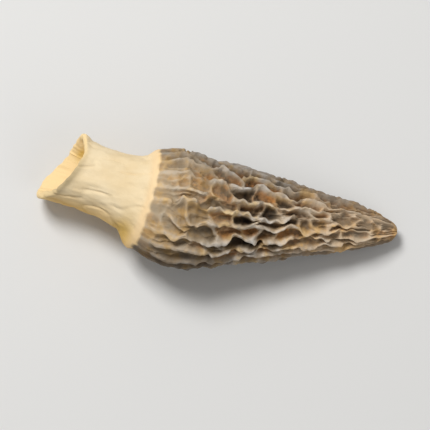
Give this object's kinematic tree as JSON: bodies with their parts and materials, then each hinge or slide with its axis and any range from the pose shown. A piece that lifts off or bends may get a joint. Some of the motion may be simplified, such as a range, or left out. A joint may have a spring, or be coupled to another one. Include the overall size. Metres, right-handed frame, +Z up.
{
  "type": "dried black morel mushroom",
  "caption": "Dried black morel lying on its side: a long ribbed and pitted hollow cap on a short, cut, hollow cream stem.",
  "frame": {"origin": "under the middle of the box of the lying mushroom, on the surface that it rests on", "axes": "+X along the mushroom from the cut stem to the tip of the cap, +Y across it, +Z up from the surface"},
  "size_m": [0.0544, 0.0184, 0.0147],
  "materials": {
    "dried_morel": "matte"
  },
  "bodies": {
    "root": {"morel": "dried_morel"}
  },
  "joints": []
}
